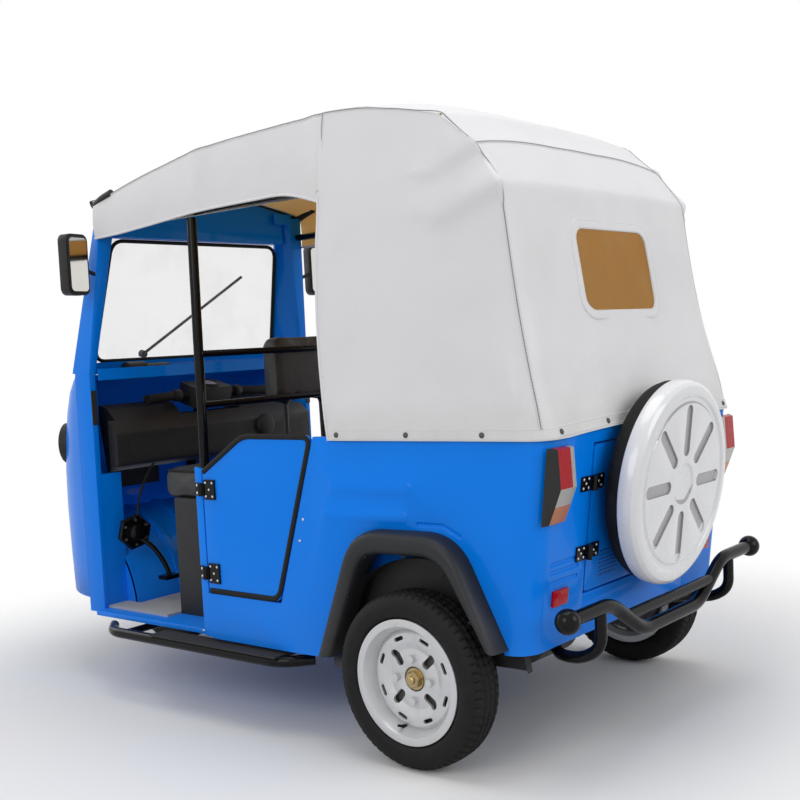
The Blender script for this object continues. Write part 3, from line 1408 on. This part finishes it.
HINGE_Z = (460, 722)
leaf = join(*(brick(759, 806, BODY_HALF, 611.5, hz - 31, hz + 31) for hz in HINGE_Z))
fixed = []
for side_name, s, plates in (("left", 1, leaf), ("right", -1, mirrored(leaf))):
    door, way = side_name + "_door", Vector((0, s, 0))
    piece("door_hinge_plates_" + side_name, *plates, black_paint, door, "black_paint")
    spots = [(mm(x, s * 611.8, z), way) for hz in HINGE_Z for x, z in five(783, hz, 15, 21)]
    heads("door_hinge_screws_" + side_name, spots, steel, 4.2, 2.4, 12, door)
    fixed += [(mm(838, s * 610.4, hz + up), way) for hz in HINGE_Z for up in (-12, 12)]
    fixed += [(mm(x, s * (BODY_HALF + 0.5), z), way) for x, z in ((388, 650), (406, 587), (855, 272))]
heads("panel_bolts", fixed, steel, 5.0, 3.0, 12)
outward = Vector((-cos(LEAN), 0, -sin(LEAN)))
GATE_HINGES = (448 + 402 * 0.28 * cos(LEAN), 448 + 402 * 0.75 * cos(LEAN))
LEAVES = (("gate_hinge_screws", 272, 14, "rear_gate"), ("rear_leaf_screws", 338, 13, "body"))
for name, y_leaf, half, body in LEAVES:
    spots = [(on_rear(y, z, 5.2), outward) for hz in GATE_HINGES for y, z in five(y_leaf, hz, half, 12)]
    heads(name, spots, steel, 4.2, 2.4, 12, body)
heads("gate_holes", [(on_rear(137 + 11 * i, 480 + 11 * j, 0.1), outward) for i in range(9) for j in range(7)],
      black_plastic, 3.4, 0.5, 12, "rear_gate")
latch = join(turned([(0, 0), (17, 0), (17, 5), (14, 8), (0, 8)], on_rear(-262, 650, 0), outward, 28),
             turned([(0, 8), (6, 8), (6, 10), (0, 10)], on_rear(-262, 650, 0), outward, 16))
piece("gate_latch", *latch, black_paint, "rear_gate", "black_paint")
piece("pillar_inserts", *on_both(brick(1446, 1450, 524, 545, 915, 1035)), black_plastic)
cap_line = ((1426, 478, 1662), (1414, 500, 1676), (1372, 503, 1694), (1318, 500, 1709))
piece("roof_corner_caps", *on_both(tube(cap_line, 13, 18, 0.02, 6)), black_plastic, angle=60)
piece("cowl_lip", *brick(1438, 1443, -515, 515, 1070, 1110), azure, slot="body_paint")
piece("header_gussets", *on_both(brick(1399, 1404, 352, 446, 1650, 1692)), azure, slot="body_paint")
visor = [p + Vector((0.012, 0, -0.008)) for p in front_path]
visor_section = [(0.007 * sin(a), 0.015 * cos(a)) for a in around(14)]
piece("roof_front_rail", *sweep(visor, visor_section), black_plastic, angle=60)
print("trims and", len(fixed), "bolts")

# %% [markdown]
# ## Bare frame, glass and floor
# Tubes and rods need only smooth shading, so their copies have no bevel. Pieces that are hidden or flat
# keep the solid model's own mesh and take a finish.

# %% Bare frame, glass and floor
BARE = (("partition", black_paint, "body", "black_paint"),
        ("canopy_frame", black_paint, "body", "black_paint"),
        ("fork", black_paint, "steering", "black_paint"), ("rear_axle", cast, "body", "cast_metal"),
        ("wiper", black_plastic, "body", "black_plastic"))
for name, material, body, slot in BARE:
    soft_copy(name, [material], body, bevel=0, angle=35)
soft_copy("chassis", [black_paint], bevel=2)
soft_copy("engine", [cast], bevel=2)
soft_copy("driver_seat_box", [black_plastic], bevel=5)
soft_copy("dashboard", [black_plastic], bevel=7, angle=28)
for name, material in (("floor_mat", mat_grey), ("windscreen", glass), ("rear_window", pane)):
    nodes[name].data.materials.clear()
    nodes[name].data.materials.append(material)
print("solid nodes still shown:", [n for n, o in nodes.items() if not o.hide_render])

# %% [markdown]
# ## Screen rubber and handlebar
# The windscreen sits in a rubber channel, swept round the glass just inside it. The handlebar has rubber
# grips, levers in front of them, a round gauge on the headset and a switch box beside it.

# %% Screen rubber and handlebar
SCREEN_LEAN = radians(13)


def on_screen(y, up, out=0.0):
    """A place on the inside of the windscreen."""
    return mm(1563 - up * sin(SCREEN_LEAN) + out * cos(SCREEN_LEAN), y,
              1132 + up * cos(SCREEN_LEAN) + out * sin(SCREEN_LEAN))


channel = [on_screen(y, up, -3) for y, up in ((0, 5), (442, 5), (404, 444), (-404, 444), (-442, 5), (0, 5))]
path = fillet(channel, 0.05, 8)[:-1]
piece("screen_rubber", *sweep(path, disc(7, 12), looped=True), rubber, slot="tyre", angle=60)


def grip_or_block(c):
    return 1 if abs(c.y) > 0.163 else 0


soft_copy("handlebar", [black_plastic, rubber], "steering", bevel=6, angle=30,
          pick=grip_or_block)
RAKE = radians(17)
top_way = Vector((-sin(RAKE), 0, cos(RAKE)))
bar = mm(1730, 0, 240) + top_way * 0.752
ahead_way = Vector((cos(RAKE), 0, sin(RAKE)))
gauge_at = bar + ahead_way * -0.022 + top_way * 0.078
gauge = turned([(0, 0), (44, 0), (44, 8), (41, 11), (38, 11), (38, 5), (0, 5)], gauge_at, top_way, 40)
piece("gauge_ring", *gauge, black_plastic, "steering")
dial = turned([(0, 5.2), (37.5, 5.2), (37.5, 6.0), (0, 6.0)], gauge_at, top_way, 40)
piece("gauge_face", *dial, accent, "steering", "lamp_clear")
lever = [bar + Vector(p) for p in ((-0.022, 0.15, 0.036), (-0.006, 0.18, 0.036), (-0.016, 0.285, 0.030))]
levers = on_both(sweep(fillet(lever, 0.02, 6), disc(5, 12)))
piece("brake_levers", *levers, cast, "steering", "cast_metal", angle=60)
switch = [(0, -14), (21, -14), (23, -10), (23, 10), (21, 14), (0, 14)]
boxes = join(*(turned(switch, bar + Vector((-0.044, s * 0.150, 0.034)), (0.1, s, 0), 24) for s in (1, -1)))
piece("switch_boxes", *boxes, black_plastic, "steering")
print("handlebar dressed")

# %% [markdown]
# ## Foot controls and dashboard pieces
# Small fittings are built from blocks, tubes and turned pieces: the pedal on its bracket with a cable, a
# round horn cover and two flat covers on the dashboard, mat corners beside the mat, kick panels beside
# the front wheelhouse and a dark backing behind the nose's slots.

# %% Foot controls and dashboard pieces
pedal_at, turn_out = mm(1386, 446, 528), Vector((-1, 0.25, 0)).normalized()
plate = turned([(0, -4), (64, -4), (64, 8), (58, 14), (0, 14)], pedal_at, turn_out, 6)
boss = turned([(0, 12), (30, 12), (28, 34), (16, 40), (0, 40)], pedal_at, turn_out, 24)
arm_line = ((1366, 436, 506), (1340, 402, 470), (1322, 372, 410), (1312, 360, 366))
pedal = join(plate, boss, tube(arm_line, 9, 14, 0.03, 8), brick(1290, 1336, 330, 392, 352, 366))
piece("foot_pedal", *pedal, black_paint, slot="black_paint")
spread = [Vector((0.25, 1, 0)).normalized() * (0.044 * cos(a)) + Vector((0, 0, 0.044 * sin(a)))
          for a in (radians(30 + 60 * k) for k in range(6))]
heads("pedal_bolts", [(pedal_at + turn_out * 0.015 + d, turn_out) for d in spread], steel, 5, 3, 6)
cable = ((1376, 440, 560), (1374, 430, 640), (1385, 380, 720), (1400, 330, 760))
piece("pedal_cable", *tube(cable, 4, 10, 0.05, 8), rubber, slot="tyre", angle=60)
horn = turned([(0, 22), (30, 22), (40, 18), (43, 10), (43, 0), (0, 0)], mm(1400, -229, 850), (-1, 0, 0), 36)
piece("horn_cover", *horn, black_plastic)
piece("dash_covers", *on_both(brick(1399.5, 1404, 145, 430, 786, 854)), black_plastic)
piece("mat_corners", *on_both(brick(1376, 1449, 446, 528, 268, 276)), mat_grey, slot="mat")
kick = brick(1450, 1453, 440, 524, 268, 740)
WHEELBASE, HOUSE_R = 1730, 338
arch = [radians(5 + 85 * k / 24) for k in range(25)]
arch_side = [(WHEELBASE - HOUSE_R * cos(a), TYRE_R + HOUSE_R * sin(a)) for a in arch]
arch_side += [(1690, 578), (1690, 268)]
wall = slab(*([mm(x, y, z) for x, z in arch_side] for y in (442, 445)))
piece("kick_panels", *on_both(join(kick, wall)), azure, slot="body_paint")
piece("grille_backing", *brick(1952, 1956, -128, 128, 618, 742), black_plastic)
print("cabin fittings made")

# %% [markdown]
# ## Cushions
# A foam cushion bulges a little under its cover. A closed copy of each cushion is remeshed evenly and
# blown up by a short cloth simulation with inside pressure and no gravity, and its movement is held to a
# few millimetres. Piping then runs round its upper edge.

# %% Cushions
FRAMES = 20


def cushion(node, voxel, reach):
    """A stuffed piece from a solid cushion; voxel and reach in millimetres."""
    obj = show(node + "_stuffed", nodes[node].data.copy())
    obj.data.materials.clear()
    settle(obj, [("REMESH", {"mode": "VOXEL", "voxel_size": voxel / 1000}),
                 ("SMOOTH", {"factor": 0.5, "iterations": 8})])
    rest = [v.co.copy() for v in obj.data.vertices]
    blow = obj.modifiers.new("blow", "CLOTH")
    blow.settings.use_pressure = True
    blow.settings.uniform_pressure_force = 4.0
    blow.settings.effector_weights.gravity = 0.0
    blow.settings.tension_stiffness = 30
    blow.settings.compression_stiffness = 30
    blow.point_cache.frame_start = 1
    blow.point_cache.frame_end = FRAMES
    for f in range(1, FRAMES + 1):
        bpy.context.scene.frame_set(f)
        bpy.context.view_layer.update()
    settle(obj, [])
    for v, old in zip(obj.data.vertices, rest):
        move = v.co - old
        v.co = old + move * min(1, reach / 1000 / max(move.length, 1e-9))
    bpy.context.scene.frame_set(1)
    settle(obj, [("SUBSURF", {"levels": 1, "render_levels": 1})])
    obj.data.name = node + "_stuffed"
    finish_piece(obj, vinyl, "body", [node], 80)
    print(node, "stuffed,", len(obj.data.vertices), "points")


for node, voxel, reach in (("driver_cushion", 9, 7), ("driver_backrest", 7, 6), ("passenger_cushion", 10, 9),
                           ("passenger_backrest", 10, 8)):
    cushion(node, voxel, reach)
pipes = []
for x0, x1, half, z in ((970, 1181, 454, 752), (-84, 324, 474, 709)):
    corners = ((x0, 0), (x0, -half), (x1, -half), (x1, half), (x0, half), (x0, 0))
    loop = fillet([mm(x, y, z) for x, y in corners], 0.03, 6)[:-1]
    pipes.append(sweep(loop, disc(4, 10), looped=True))
piece("cushion_piping", *join(*pipes), rubber, slot="vinyl", angle=60)
